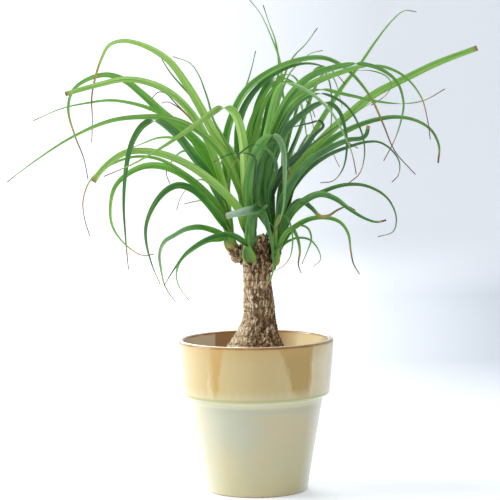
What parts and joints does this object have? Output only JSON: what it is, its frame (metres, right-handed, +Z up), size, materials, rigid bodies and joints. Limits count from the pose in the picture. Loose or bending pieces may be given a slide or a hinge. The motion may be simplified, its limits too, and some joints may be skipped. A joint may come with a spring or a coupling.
{
  "type": "potted ponytail palm",
  "caption": "Potted ponytail palm with a stubby corky trunk, arching strap leaves in four heads and a glazed ceramic cover pot.",
  "frame": {"origin": "centre of the flat base of the pot, on the surface that it stands on", "axes": "+Z up along the pot's axis; the front of the plant faces -Y and its longest hanging leaves reach to -X"},
  "size_m": [0.4292, 0.3086, 0.4514],
  "materials": {
    "glaze": "glossy honey glaze on the band, satin celadon on the body",
    "earth": "matt crumbly potting mix",
    "bark": "rough corky bark",
    "leaf": "satin green leaf with dry brown tips"
  },
  "bodies": {
    "root": {"pot": "glaze", "soil": "earth", "trunk": "bark", "leaves_left_head": "leaf", "leaves_front_head": "leaf", "leaves_right_head": "leaf", "leaves_top_head": "leaf"}
  },
  "joints": []
}
